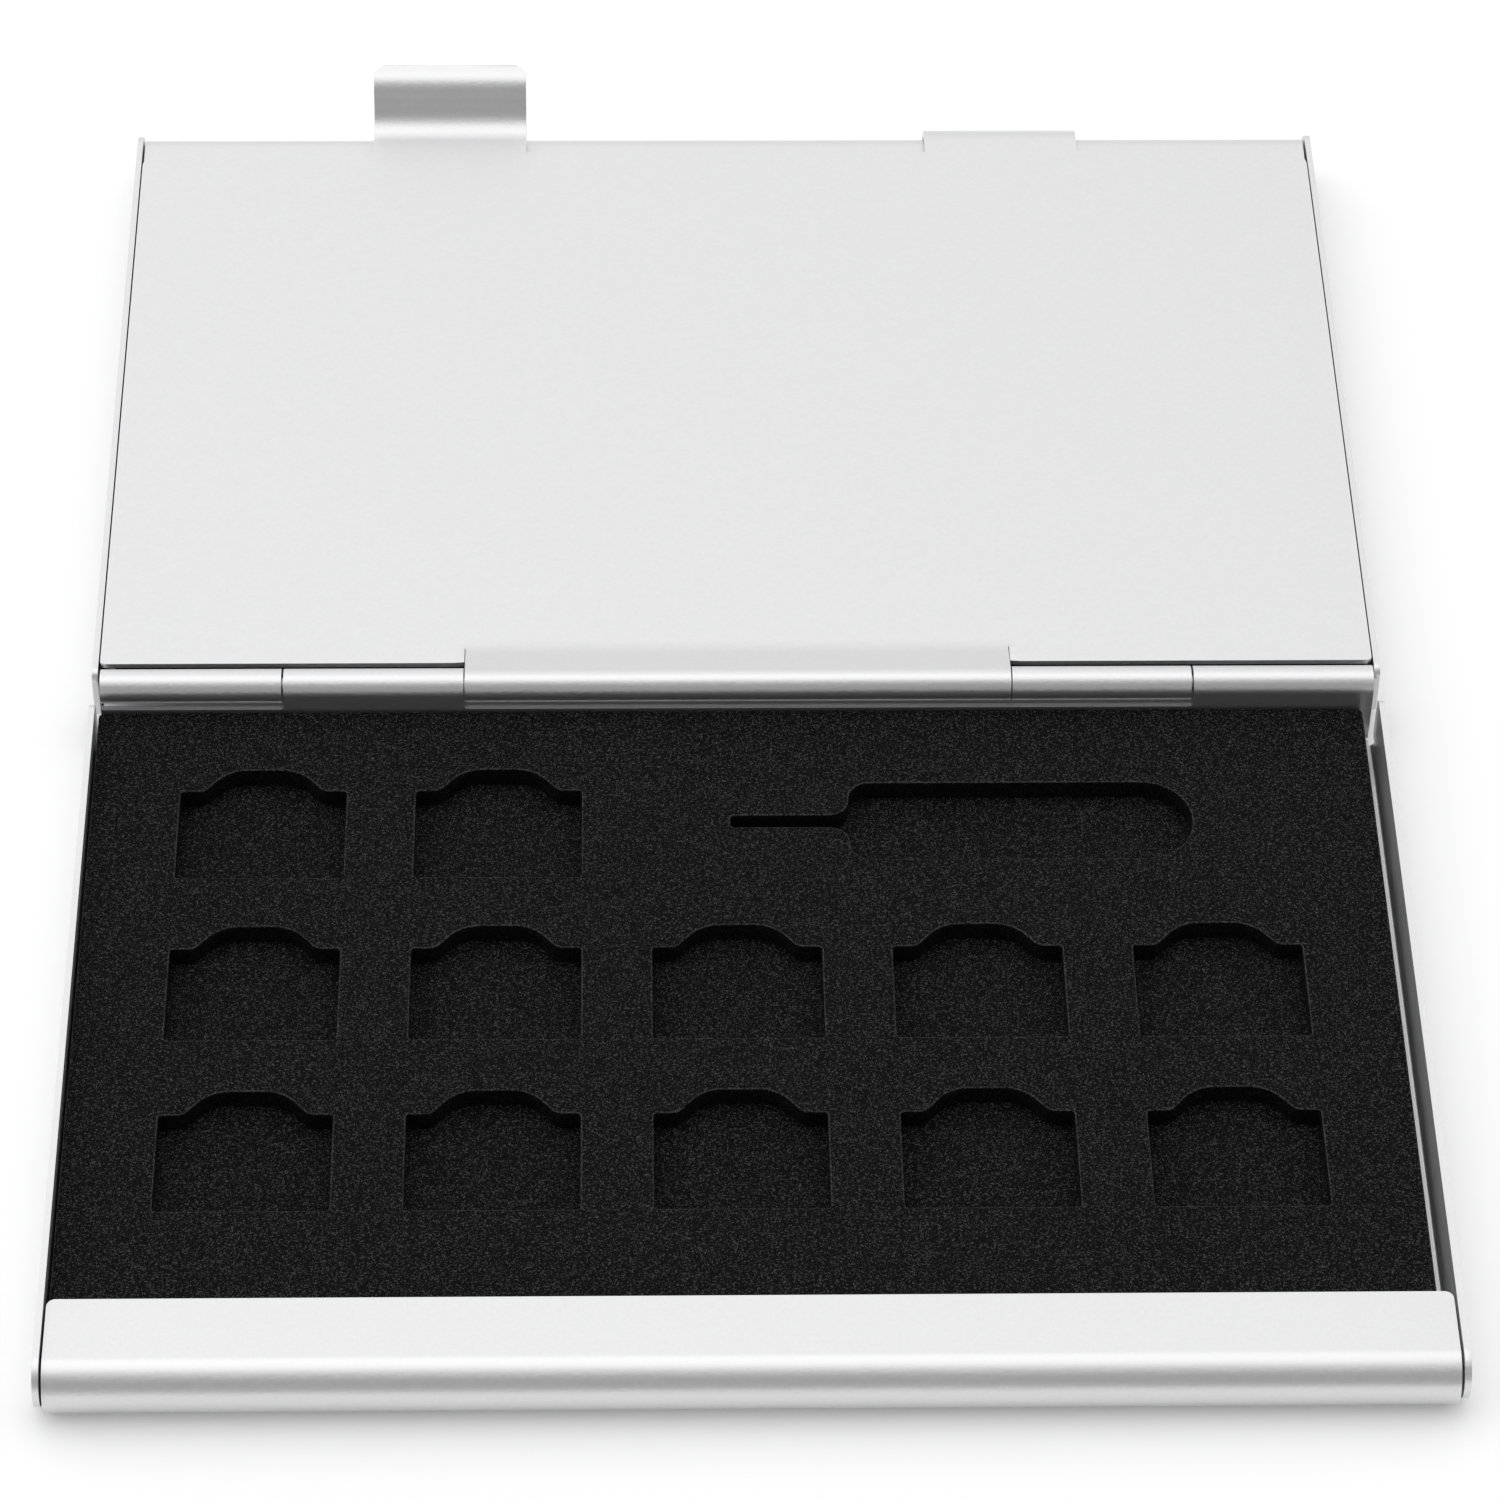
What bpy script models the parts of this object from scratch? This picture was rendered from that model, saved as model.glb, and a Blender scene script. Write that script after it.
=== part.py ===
"""Aluminium case for nano SIM cards, lying open flat.

Two equal sheet shells and a flat divider leaf turn on one pin. The hinge runs along X. The base lies
on the -Y side of it and the lid, with the divider on top, on the +Y side. Metres, +Z up, and the
origin is on the table under the middle of the open case.
"""

from math import acos, atan2, cos, degrees, hypot, pi, radians, sin, sqrt, tan

import bmesh
import bpy
from mathutils import Matrix, Vector

mm = 0.001

# Degrees between the points of an arc
arc_step = 15.0
bend_step = 18.0
foam_arc_step = 22.5

# Share of its room that a fillet may take
fillet_share = 0.98

# Overall sizes
case_width = 95.0 * mm
leaf_depth = 63.8 * mm
hinge_height = 5.0 * mm

# Hinge
barrel_radius = 1.25 * mm
end_barrel_pitch = 13.325 * mm
barrel_gap = 0.16 * mm
pin_radius = 0.6 * mm
pin_chamfer = 0.12 * mm
shell_curl_end = -115.0
divider_curl_end = -10.0
shell_barrels = (1, 4)
divider_barrel = 2

# Shells
shell_sheet = 0.45 * mm
bend_radius = 0.8 * mm
lip_depth = 7.15 * mm
lip_wall_gap = 0.15 * mm
lip_corner = 0.6 * mm
rim_gap = 0.15 * mm
wall_overhang = 0.2 * mm
wall_rear_gap = 1.3 * mm
wall_rear_corner = 0.8 * mm
notch_clearance = 0.05 * mm
notch_depth = 1.2 * mm
notch_corner = 0.35 * mm

# Divider leaf
divider_sheet = 0.45 * mm
divider_lip_gap = 0.25 * mm
divider_wall_gap = 0.15 * mm
divider_setback = 3.7 * mm
divider_rear_gap = 2.1 * mm
divider_far_corner = 1.6 * mm
divider_rear_corner = 0.4 * mm
ramp_start = 3.6 * mm
ramp_blend = 0.65 * mm

# Finger tabs of the divider
tab_width = 12.3 * mm
tab_offset = 22.25 * mm
tab_flat = 1.5 * mm
tab_root_bend = 2.825 * mm
tab_top_bend = 2.0 * mm
tab_steepest = 77.5
tab_tip_slope = 15.0
tab_tip = 0.7 * mm
tab_tip_corner = 1.2 * mm
tab_tip_rows = (0.5, 0.85, 1.0)

# Foam and its film
foam_width = 92.8 * mm
foam_wall_gap = 0.2 * mm
foam_rear_gap = 0.2 * mm
foam_lip_gap = 0.3 * mm
foam_corner = 0.5 * mm
pocket_layer = 1.6 * mm
film_thickness = 0.15 * mm
layer_gap = 0.1 * mm
film_inset = 1.0 * mm

# Card pockets
pocket_width = 12.0 * mm
pocket_height = 8.5 * mm
pocket_corner = 0.25 * mm
column_pitch = 17.0 * mm
front_margin = 8.1 * mm
rear_margin = 5.9 * mm
column_count = 5
row_count = 3
last_row_count = 2
finger_bump_width = 8.6 * mm
finger_bump_top = 5.0 * mm
finger_bump_rise = 2.1 * mm
finger_root_round = 0.9 * mm
finger_top_round = 2.6 * mm

# Slot of the eject pin
needle_length = 8.6 * mm
needle_width = 1.15 * mm
pin_head_length = 24.8 * mm
pin_head_height = 7.5 * mm
pin_head_round = 3.7 * mm
pin_neck_round = 2.2 * mm
pin_tip_round = 0.3 * mm
pin_slot_start = -0.3 * mm
pin_slot_rise = 1.1 * mm

# Worked out from the sizes above
half_width = case_width / 2
strip_half = half_width - bend_radius
wall_inner = half_width - shell_sheet
lip_half = wall_inner - lip_wall_gap
wall_top = hinge_height - rim_gap
nose_height = hinge_height - divider_sheet / 2 - divider_lip_gap
nose_radius = nose_height / 2
nose_centre = leaf_depth - nose_radius
lip_back = leaf_depth - lip_depth
foam_top = nose_height - shell_sheet - foam_lip_gap
floor_top = shell_sheet
film_top = floor_top + layer_gap + film_thickness
pocket_floor = foam_top - pocket_layer
tab_reach = (
    leaf_depth
    - divider_setback
    + tab_flat
    + (tab_root_bend + tab_top_bend) * sin(radians(tab_steepest))
    - tab_top_bend * sin(radians(tab_tip_slope))
    + tab_tip * cos(radians(tab_tip_slope))
    + divider_sheet / 2 * sin(radians(tab_tip_slope))
)
hinge_y = (leaf_depth - max(leaf_depth, tab_reach)) / 2


def clear_scene():
    """Remove what the new file holds."""
    for item in list(bpy.data.objects):
        bpy.data.objects.remove(item, do_unlink=True)


def collection(name):
    """A new collection under the scene."""
    group = bpy.data.collections.new(name)
    bpy.context.scene.collection.children.link(group)
    return group


def material(name, colour, roughness, metallic):
    """A plain Principled BSDF finish."""
    finish = bpy.data.materials.new(name)
    finish.use_nodes = True
    shader = finish.node_tree.nodes["Principled BSDF"]
    shader.inputs["Base Color"].default_value = (*colour, 1.0)
    shader.inputs["Roughness"].default_value = roughness
    shader.inputs["Metallic"].default_value = metallic
    finish.diffuse_color = (*colour, 1.0)
    return finish


def arc(centre_a, centre_b, radius, start, end, step=arc_step):
    """Points of an arc from start to end degrees, both ends included."""
    count = max(2, round(abs(end - start) / step))
    angles = [radians(start + (end - start) * k / count) for k in range(count + 1)]
    return [(centre_a + radius * cos(t), centre_b + radius * sin(t)) for t in angles]


def rounded_outline(corners, step=foam_arc_step):
    """A closed outline from corners (x, y, radius), each corner a fillet of its own radius."""
    points = []
    for index, (x, y, radius) in enumerate(corners):
        here = Vector((x, y))
        before = (Vector(corners[index - 1][:2]) - here).normalized()
        after = (Vector(corners[(index + 1) % len(corners)][:2]) - here).normalized()
        if radius <= 0:
            points.append((x, y))
            continue
        half = before.angle(after) / 2
        centre = here + (before + after).normalized() * (radius / sin(half))
        foot_in = here + before * (radius / tan(half)) - centre
        foot_out = here + after * (radius / tan(half)) - centre
        start = degrees(atan2(foot_in.y, foot_in.x))
        turn = (degrees(atan2(foot_out.y, foot_out.x)) - start + 180.0) % 360.0 - 180.0
        points += arc(centre.x, centre.y, radius, start, start + turn, step)
    return points


def rectangle(x_min, x_max, y_min, y_max, radius):
    """Corners of a rectangle, anticlockwise, for rounded_outline."""
    return [(x_min, y_min, radius), (x_max, y_min, radius), (x_max, y_max, radius), (x_min, y_max, radius)]


def flat_solid(name, outlines, bottom, top, finish, group, parent):
    """A flat sheet cut to outlines: the first is its edge, the others are holes."""
    curve = bpy.data.curves.new(name, "CURVE")
    curve.dimensions = "2D"
    curve.fill_mode = "BOTH"
    curve.extrude = (top - bottom) / 2
    for outline in outlines:
        spline = curve.splines.new("POLY")
        spline.points.add(len(outline) - 1)
        for point, (x, y) in zip(spline.points, outline):
            point.co = (x, y, 0.0, 1.0)
        spline.use_cyclic_u = True
    curve.materials.append(finish)
    solid = bpy.data.objects.new(name, curve)
    group.objects.link(solid)
    solid.parent = parent
    solid.location = (0.0, 0.0, (top + bottom) / 2 - hinge_height)
    return solid


def mesh_object(name, shape, finish, group, parent, height):
    """Turn a bmesh into an object whose heights are measured from `height` under the hinge."""
    bmesh.ops.recalc_face_normals(shape, faces=shape.faces)
    mesh = bpy.data.meshes.new(name)
    shape.to_mesh(mesh)
    shape.free()
    mesh.materials.append(finish)
    solid = bpy.data.objects.new(name, mesh)
    group.objects.link(solid)
    solid.parent = parent
    solid.location = (0.0, 0.0, -height)
    return solid


def smooth(mesh, angle=30.0):
    """Round surfaces shade smooth, bends sharper than the angle stay crisp."""
    mesh.shade_smooth()
    mesh.set_sharp_from_angle(angle=radians(angle))


def add_solidify(solid, thickness, offset):
    """Give an open sheet surface its thickness."""
    sheet = solid.modifiers.new("sheet", "SOLIDIFY")
    sheet.thickness = thickness
    sheet.offset = offset
    sheet.use_even_offset = True
    sheet.use_quality_normals = True


def cut(solid, cutter):
    """Subtract a cutter."""
    step = solid.modifiers.new(cutter.name, "BOOLEAN")
    step.operation = "DIFFERENCE"
    step.solver = "EXACT"
    step.object = cutter


def extrude_edges(shape, edges, place):
    """Extrude edges and put each new point where place(point) says; returns the new edges."""
    made = bmesh.ops.extrude_edge_only(shape, edges=edges)["geom"]
    for item in made:
        if isinstance(item, bmesh.types.BMVert):
            item.co = place(item.co)
    return [item for item in made if isinstance(item, bmesh.types.BMEdge)]


def round_corners(shape, spots, radius):
    """Round free corners of an open sheet surface, each given as a place."""
    corners = [min(shape.verts, key=lambda v: (v.co - Vector(spot)).length) for spot in spots]
    bmesh.ops.bevel(
        shape,
        geom=corners,
        affect="VERTICES",
        offset=radius,
        offset_type="OFFSET",
        segments=6,
        profile=0.5,
        clamp_overlap=True,
    )


def barrel_joints():
    """X of the hinge's ends and of the joints between its five barrels."""
    inner = strip_half - 2 * end_barrel_pitch
    outer = strip_half - end_barrel_pitch
    return [-strip_half, -outer, -inner, inner, outer, strip_half]


def barrel_span(number):
    """Start and end of a barrel along X, half a gap short of an inner joint."""
    joints = barrel_joints()
    start = joints[number] + (barrel_gap / 2 if number > 0 else 0.0)
    end = joints[number + 1] - (barrel_gap / 2 if number < len(joints) - 2 else 0.0)
    return start, end


def notch_spans(own):
    """Stretches along X where a shell gives way to the other leaves' barrels."""
    joints = barrel_joints()
    spans = []
    for number in range(len(joints) - 1):
        if number in own:
            continue
        low = joints[number] - barrel_gap / 2
        high = joints[number + 1] + barrel_gap / 2
        if spans and low < spans[-1][1]:
            spans[-1] = (spans[-1][0], high)
        else:
            spans.append((low, high))
    return spans


def shell_section():
    """The outer side of the sheet from the lip to the barrel's curl, as (half width, y, z).

    The lip and the nose fill the room between the side walls, the rest is as wide as the floor.
    """
    wall_y = -(barrel_radius - shell_sheet)
    floor_end = wall_y - bend_radius
    nose = arc(-nose_centre, nose_radius, nose_radius, 90.0, 270.0)
    wide = [(-lip_back, nose_height)] + nose[:-1]
    plain = [nose[-1]]
    plain.append((min(-(wall_rear_gap + wall_rear_corner), floor_end - shell_sheet), 0.0))
    plain += arc(floor_end, bend_radius, bend_radius, 270.0, 360.0, bend_step)
    plain += arc(0.0, hinge_height, barrel_radius - shell_sheet, 180.0, shell_curl_end)
    return [(lip_half, y, z) for y, z in wide] + [(strip_half, y, z) for y, z in plain]


def wall_levels():
    """Heights of the side wall's rows, close enough for the round ends."""
    middle = (wall_top + bend_radius) / 2
    radius = (wall_top - bend_radius) / 2
    nose_rows = [middle + radius * sin(radians(a)) for a in range(-75, 90, 15)]
    corner = wall_top - wall_rear_corner
    rear_rows = [corner] + [corner + wall_rear_corner * sin(radians(a)) for a in range(20, 90, 20)]
    return sorted(nose_rows + rear_rows) + [wall_top]


def wall_front(height):
    """Y of the side wall's round front edge at a height."""
    middle = (wall_top + bend_radius) / 2
    radius = (wall_top - bend_radius) / 2
    bow = sqrt(max(0.0, radius**2 - (height - middle) ** 2))
    return -(nose_centre + wall_overhang + bow)


def wall_rear(height):
    """Y of the side wall's rear edge, with its round top corner."""
    over = max(0.0, height - (wall_top - wall_rear_corner))
    back = wall_rear_corner - sqrt(max(0.0, wall_rear_corner**2 - over**2))
    return -(wall_rear_gap + back)


def add_side_wall(shape, side, floor_edge):
    """Bend the floor's edge up into a side wall with a round front and a round rear corner."""
    edges = floor_edge
    for out, z in arc(0.0, bend_radius, bend_radius, -90.0, 0.0, bend_step)[1:]:
        x = side * (strip_half + out)
        edges = extrude_edges(shape, edges, lambda co, x=x, z=z: Vector((x, co.y, z)))
    low = bend_radius
    front_posts = []
    rear_posts = []
    for level in wall_levels():
        old = {vert for edge in edges for vert in edge.verts}
        edges = extrude_edges(shape, edges, lambda co, z=level: Vector((co.x, co.y, z)))
        new = {vert for edge in edges for vert in edge.verts}
        ends = [sorted(group, key=lambda v: v.co.y) for group in (old, new)]
        front_posts.append((ends[0][0], ends[1][0]))
        rear_posts.append((ends[0][-1], ends[1][-1]))
    for posts, edge_y in ((front_posts, wall_front), (rear_posts, wall_rear)):
        risers = [shape.edges.get(pair) for pair in posts]
        extrude_edges(shape, risers, lambda co, f=edge_y: Vector((co.x, f(max(co.z, low)), co.z)))


def build_shell(name, finish, group, parent, cutters):
    """One sheet stamping: strip along the section, side walls, notches for the other barrels."""
    shape = bmesh.new()
    posts = [shape.verts.new((-half, y, z)) for half, y, z in shell_section()]
    chain = [shape.edges.new(pair) for pair in zip(posts, posts[1:])]
    extrude_edges(shape, chain, lambda co: Vector((-co.x, co.y, co.z)))
    bmesh.ops.remove_doubles(shape, verts=shape.verts, dist=1e-7)
    for side in (-1, 1):
        floor_edge = [
            edge
            for edge in shape.edges
            if all(abs(v.co.x - side * strip_half) < 1e-6 and abs(v.co.z) < 1e-7 for v in edge.verts)
            and edge.calc_length() > leaf_depth / 2
        ]
        add_side_wall(shape, side, floor_edge)
    bmesh.ops.remove_doubles(shape, verts=shape.verts, dist=1e-7)
    lip_ends = [(side * lip_half, -lip_back, nose_height) for side in (-1, 1)]
    round_corners(shape, lip_ends, lip_corner)
    shell = mesh_object(name, shape, finish, group, parent, hinge_height)
    face_floor_down(shell)
    add_solidify(shell, shell_sheet, -1.0)
    for cutter in cutters:
        cut(shell, cutter)
    smooth(shell.data)
    return shell


def face_floor_down(shell):
    """The sheet's outer side is the side that the surface faces."""
    floor = max(shell.data.polygons, key=lambda face: face.area)
    if floor.normal.z > 0:
        shell.data.flip_normals()


def notch_cutters(group, parent, spans, label):
    """Blocks that clear the rear wall, with rounded low corners, and the curl for the other barrels."""
    wall_low = hinge_height - notch_depth
    curl_low = hinge_height - barrel_radius - notch_clearance
    high = hinge_height + 2 * barrel_radius
    wall_face = -(barrel_radius - shell_sheet)
    curl_tip = barrel_radius * cos(radians(shell_curl_end))
    split = (wall_face + curl_tip) / 2
    reach = 2 * barrel_radius
    cutters = []
    middle = (split + wall_face) / 2
    for number, span in enumerate(spans, 1):
        wall_limits = (span, (-reach, split), (wall_low, high))
        wall = cutter_block(f"{label}_wall_notch_{number}", wall_limits, group, parent)
        round_low_edges(wall.data, notch_corner)
        curl_limits = (span, (middle, reach), (curl_low, high))
        curl = cutter_block(f"{label}_curl_notch_{number}", curl_limits, group, parent)
        cutters += [wall, curl]
    return cutters


def cutter_block(name, limits, group, parent):
    """A block between limits along X, Y and Z, with Z measured from the underside of the leaf."""
    bpy.ops.mesh.primitive_cube_add(size=1.0)
    block = bpy.context.object
    block.name = name
    block.data.transform(Matrix.Diagonal([high - low for low, high in limits] + [1.0]))
    block.parent = parent
    centre = [(high + low) / 2 for low, high in limits]
    block.location = (centre[0], centre[1], centre[2] - hinge_height)
    move_to(block, group)
    return block


def round_low_edges(mesh, radius):
    """Round the two low edges of a block that run along Y."""
    shape = bmesh.new()
    shape.from_mesh(mesh)
    low = min(v.co.z for v in shape.verts)
    edges = [
        edge
        for edge in shape.edges
        if all(abs(v.co.z - low) < 1e-7 for v in edge.verts)
        and abs(edge.verts[0].co.x - edge.verts[1].co.x) < 1e-7
    ]
    bmesh.ops.bevel(shape, geom=edges, affect="EDGES", offset=radius, segments=4, profile=0.5)
    shape.to_mesh(mesh)
    shape.free()


def move_to(item, group):
    """Keep an object in one collection, out of sight if it is a cutter's."""
    for old in list(item.users_collection):
        old.objects.unlink(item)
    group.objects.link(item)
    item.hide_render = True
    item.display_type = "WIRE"


def divider_ramp():
    """The middle of the sheet from the flat up over the pin: points (y, z), z from the hinge axis."""
    radius = barrel_radius - divider_sheet / 2
    touch = degrees(acos(radius / ramp_start))
    top = (radius * cos(radians(touch)), radius * sin(radians(touch)))
    share = (ramp_start - divider_rear_gap) / (ramp_start - top[0])
    points = [(divider_rear_gap, top[1] * share)]
    return points + arc(0.0, 0.0, radius, touch, 360.0 + divider_curl_end)


def tip_inset(distance):
    """How far a tab's side has drawn in at a distance from the tip, round to the tip's corner."""
    over = max(0.0, tab_tip_corner - distance)
    return tab_tip_corner - sqrt(tab_tip_corner**2 - over**2)


def tab_path():
    """The middle of a tab's sheet: y from the plate's edge, rise from the plate, inset of its sides."""
    rise = arc(0.0, tab_root_bend, tab_root_bend, -90.0, tab_steepest - 90.0)
    steep = radians(tab_steepest)
    centre = (rise[-1][0] + tab_top_bend * sin(steep), rise[-1][1] - tab_top_bend * cos(steep))
    fall = arc(*centre, tab_top_bend, tab_steepest + 90.0, tab_tip_slope + 90.0)
    along = tab_tip * cos(radians(tab_tip_slope))
    up = tab_tip * sin(radians(tab_tip_slope))
    tip = [(fall[-1][0] + share * along, fall[-1][1] + share * up) for share in tab_tip_rows]
    curve = rise + fall[1:] + tip
    rows = []
    distance = 0.0
    ahead = curve[-1]
    for y, z in reversed(curve):
        distance += hypot(ahead[0] - y, ahead[1] - z)
        rows.append((tab_flat + y, z, tip_inset(distance)))
        ahead = (y, z)
    return rows[::-1]


def build_divider(finish, group, parent):
    """Flat leaf with the middle barrel curled from its rear edge and two tabs on its far edge."""
    far = leaf_depth - divider_setback
    half = wall_inner - divider_wall_gap
    barrel = barrel_span(divider_barrel)[1]
    tab_in = tab_offset - tab_width / 2
    tab_out = tab_offset + tab_width / 2
    stations = sorted({barrel, barrel + ramp_blend, tab_in, tab_out, half})
    columns_x = [-x for x in reversed(stations)] + stations
    shape = bmesh.new()
    row = [shape.verts.new((x, far, 0.0)) for x in columns_x]
    far_edges = [shape.edges.new(pair) for pair in zip(row, row[1:])]
    rear_edges = extrude_edges(shape, far_edges, lambda co: Vector((co.x, ramp_start, 0.0)))

    def middle(edge):
        return abs((edge.verts[0].co.x + edge.verts[1].co.x) / 2)

    ramp = divider_ramp()
    curl = [edge for edge in rear_edges if middle(edge) < barrel]
    for y, z in ramp:
        curl = extrude_edges(shape, curl, lambda co, y=y, z=z: Vector((co.x, y, z)))
    raised = ramp[0][1]
    sides = [edge for edge in rear_edges if middle(edge) > barrel]
    extrude_edges(
        shape,
        sides,
        lambda co: Vector((co.x, divider_rear_gap, raised if abs(co.x) < barrel + 1e-6 else 0.0)),
    )
    for turn in (1, -1):
        own_side = [edge for edge in far_edges if edge.verts[0].co.x * turn < 0]
        tab = [edge for edge in own_side if tab_in < middle(edge) < tab_out]
        for y, z, inset in tab_path():
            tab = extrude_edges(
                shape,
                tab,
                lambda co, y=far + y, z=turn * z, half=tab_width / 2 - inset: Vector(
                    (-turn * tab_offset + (half if co.x > -turn * tab_offset else -half), y, z)
                ),
            )
    bmesh.ops.remove_doubles(shape, verts=shape.verts, dist=1e-7)
    plate_far = [(side * half, far, 0.0) for side in (-1, 1)]
    round_corners(shape, plate_far, divider_far_corner)
    plate_rear = [(side * half, divider_rear_gap, 0.0) for side in (-1, 1)]
    round_corners(shape, plate_rear, divider_rear_corner)
    leaf = mesh_object("divider_leaf", shape, finish, group, parent, 0.0)
    add_solidify(leaf, divider_sheet, 0.0)
    smooth(leaf.data)
    return leaf


def build_hinge_pin(finish, group, parent):
    """A plain wire through all five barrels, flush with their ends."""
    bpy.ops.mesh.primitive_cylinder_add(vertices=24, radius=pin_radius, depth=2 * strip_half)
    pin = bpy.context.object
    pin.name = "hinge_pin"
    pin.data.transform(Matrix.Rotation(pi / 2, 4, "Y"))
    for old in list(pin.users_collection):
        old.objects.unlink(pin)
    group.objects.link(pin)
    pin.parent = parent
    pin.data.materials.append(finish)
    chamfer = pin.modifiers.new("chamfer", "BEVEL")
    chamfer.width = pin_chamfer
    chamfer.segments = 1
    chamfer.limit_method = "ANGLE"
    chamfer.angle_limit = radians(60.0)
    smooth(pin.data)
    return pin


def pocket_outline(x, y):
    """A card pocket centred on (x, y) in its plain part, with the finger bump on its hinge side."""
    right = pocket_width / 2
    top = pocket_height / 2
    bump = finger_bump_width / 2
    crown = finger_bump_top / 2
    corners = [
        (-right, -top, pocket_corner),
        (right, -top, pocket_corner),
        (right, top, pocket_corner),
        (bump, top, finger_root_round),
        (crown, top + finger_bump_rise, finger_top_round),
        (-crown, top + finger_bump_rise, finger_top_round),
        (-bump, top, finger_root_round),
        (-right, top, pocket_corner),
    ]
    return [(x + px, y + py) for px, py in rounded_outline(corners)]


def pin_slot_outline(x, y):
    """The eject pin's slot: a thin needle from x to the right, then a long round head."""
    thin = needle_width / 2
    wide = pin_head_height / 2
    neck = x + needle_length
    end = neck + pin_head_length
    head_round = min(pin_head_round, wide * fillet_share)
    neck_round = min(pin_neck_round, (wide - thin) / 2 * fillet_share)
    tip_round = min(pin_tip_round, thin * fillet_share)
    return rounded_outline(
        [
            (x, y - thin, tip_round),
            (neck, y - thin, neck_round),
            (neck, y - wide, neck_round),
            (end, y - wide, head_round),
            (end, y + wide, head_round),
            (neck, y + wide, neck_round),
            (neck, y + thin, neck_round),
            (x, y + thin, tip_round),
        ]
    )


def foam_bounds():
    """Left, right, front and rear of the foam in a shell."""
    left = -(wall_inner - foam_wall_gap)
    return left, left + foam_width, -nose_centre, -(barrel_radius + foam_rear_gap)


def pocket_places():
    """Centres of the plain parts of the pockets, and the slot's start."""
    left, right, _, rear = foam_bounds()
    middle = (left + right) / 2
    first = -lip_back + front_margin + pocket_height / 2
    last = rear - rear_margin - finger_bump_rise - pocket_height / 2
    row_pitch = (last - first) / (row_count - 1)
    pockets = []
    for row in range(row_count):
        count = column_count if row < row_count - 1 else last_row_count
        for column in range(count):
            x = middle + (column - (column_count - 1) / 2) * column_pitch
            pockets.append((x, first + row * row_pitch))
    return pockets, (middle + pin_slot_start, last + pin_slot_rise)


def build_foam(side, foam, film, group, parent):
    """Adhesive film, whole backing layer and die-cut pocket layer, from the floor up."""
    left, right, front, rear = foam_bounds()
    edge = rounded_outline(rectangle(left, right, front, rear, foam_corner))
    inset = film_inset
    film_bounds = (left + inset, right - inset, front + inset, rear - inset)
    film_edge = rounded_outline(rectangle(*film_bounds, foam_corner))
    low = film_top + layer_gap
    high = pocket_floor - layer_gap
    flat_solid(f"{side}_adhesive_film", [film_edge], floor_top + layer_gap, film_top, film, group, parent)
    flat_solid(f"{side}_backing_foam", [edge], low, high, foam, group, parent)
    pockets, slot = pocket_places()
    holes = [pocket_outline(x, y) for x, y in pockets] + [pin_slot_outline(*slot)]
    flat_solid(f"{side}_pocket_foam", [edge] + holes, pocket_floor, foam_top, foam, group, parent)


def axis_empty(name, turn, group):
    """A frame on the hinge axis that a leaf is built from."""
    frame = bpy.data.objects.new(name, None)
    frame.location = (0.0, hinge_y, hinge_height)
    frame.rotation_euler = (0.0, 0.0, turn)
    frame.empty_display_size = 5 * mm
    group.objects.link(frame)
    return frame


def main():
    """Build the open case."""
    clear_scene()
    parts = collection("sim_card_case")
    cutters = collection("cutters")
    shell_finish = material("satin_anodised_aluminium", (0.80, 0.80, 0.81), 0.35, 1.0)
    divider_finish = material("satin_aluminium_leaf", (0.78, 0.78, 0.79), 0.32, 1.0)
    pin_finish = material("plain_steel_wire", (0.60, 0.60, 0.60), 0.30, 1.0)
    foam_finish = material("black_eva_foam", (0.015, 0.015, 0.016), 0.95, 0.0)
    film_finish = material("double_sided_film", (0.75, 0.74, 0.70), 0.60, 0.0)
    for side, turn in (("base", 0.0), ("lid", pi)):
        frame = axis_empty(f"{side}_axis", turn, parts)
        blocks = notch_cutters(cutters, frame, notch_spans(shell_barrels), side)
        build_shell(f"{side}_shell", shell_finish, parts, frame, blocks)
        build_foam(side, foam_finish, film_finish, parts, frame)
    divider_frame = axis_empty("divider_axis", 0.0, parts)
    build_divider(divider_finish, parts, divider_frame)
    build_hinge_pin(pin_finish, parts, bpy.data.objects["base_axis"])


main()
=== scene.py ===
from math import acos, cos, degrees, pi, radians, sin, sqrt, tan

import bmesh
import bpy
from mathutils import Matrix, Vector


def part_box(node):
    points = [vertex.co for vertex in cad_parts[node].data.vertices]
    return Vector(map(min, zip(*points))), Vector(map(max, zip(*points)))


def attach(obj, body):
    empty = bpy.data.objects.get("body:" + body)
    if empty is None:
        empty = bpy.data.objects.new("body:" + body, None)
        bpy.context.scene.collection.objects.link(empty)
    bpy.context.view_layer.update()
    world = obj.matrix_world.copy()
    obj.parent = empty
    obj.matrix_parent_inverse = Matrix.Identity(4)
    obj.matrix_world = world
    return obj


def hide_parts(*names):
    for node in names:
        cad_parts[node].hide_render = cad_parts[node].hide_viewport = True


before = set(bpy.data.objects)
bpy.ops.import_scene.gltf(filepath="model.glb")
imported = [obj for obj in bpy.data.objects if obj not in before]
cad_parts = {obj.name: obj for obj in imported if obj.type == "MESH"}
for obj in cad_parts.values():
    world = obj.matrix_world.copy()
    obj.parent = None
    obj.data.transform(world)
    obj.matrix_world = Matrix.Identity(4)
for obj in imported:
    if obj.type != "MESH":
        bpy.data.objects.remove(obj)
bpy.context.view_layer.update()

mm = 0.001
slack = 0.01  # mm, how far a picked point may lie from its worked-out place
mergeGap = 0.002  # mm, points nearer than this become one
rollStep = 7.5  # degrees between two rows of points on a roll or barrel
foldStep = 10.0  # and on a folded edge
pinLow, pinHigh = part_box("hinge_pin")
axisY = (pinLow[1] + pinHigh[1]) / 2  # the hinge axis runs along X
axisZ = (pinLow[2] + pinHigh[2]) / 2
axisHeight = axisZ / mm


# Places are in mm here: X from the middle, Y from the hinge axis, Z from the table

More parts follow.
